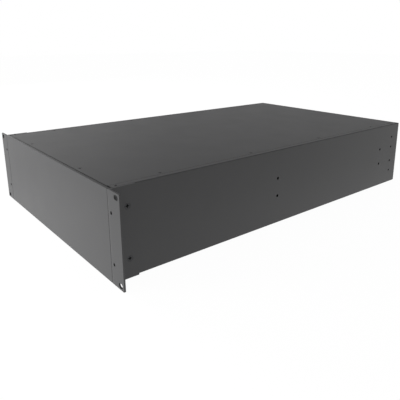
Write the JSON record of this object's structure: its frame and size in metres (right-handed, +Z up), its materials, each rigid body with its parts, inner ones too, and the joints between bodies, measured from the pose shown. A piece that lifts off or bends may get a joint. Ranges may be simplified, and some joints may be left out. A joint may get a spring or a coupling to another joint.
{
  "type": "empty rackmount server case",
  "caption": "Closed shallow box of folded sheet metal with a flat front plate, screwed-on covers and two slotted ears, for holding server parts in a rack.",
  "frame": {"origin": "middle of the case seen from above, on the plane of the front panel's lower edge", "axes": "+X to the right of someone facing the front panel, +Y from the front panel to the rear, +Z up"},
  "size_m": [0.4826, 0.712, 0.1326],
  "materials": {
    "panel_paint": "satin powder coat",
    "ear_paint": "satin powder coat",
    "case_paint": "satin powder coat",
    "rail_paint": "satin powder coat",
    "black_screws": "black oxide",
    "zinc_fixings": "zinc plated"
  },
  "bodies": {
    "root": {"front_panel": "panel_paint", "front_panel_studs": "zinc_fixings", "front_panel_nuts": "zinc_fixings", "rear_panel": "case_paint", "rear_panel_screws": "black_screws", "left_side_plate": "case_paint", "right_side_plate": "case_paint", "left_ear": "ear_paint", "right_ear": "ear_paint", "left_ear_screws": "black_screws", "right_ear_screws": "black_screws", "left_ear_nuts": "zinc_fixings", "right_ear_nuts": "zinc_fixings", "top_cover": "case_paint", "bottom_cover": "case_paint", "top_cover_side_screws": "black_screws", "top_cover_end_screws": "black_screws", "bottom_cover_side_screws": "black_screws", "bottom_cover_end_screws": "black_screws", "front_top_rail": "rail_paint", "front_bottom_rail": "rail_paint", "rear_top_rail": "rail_paint", "rear_bottom_rail": "rail_paint"}
  },
  "joints": []
}
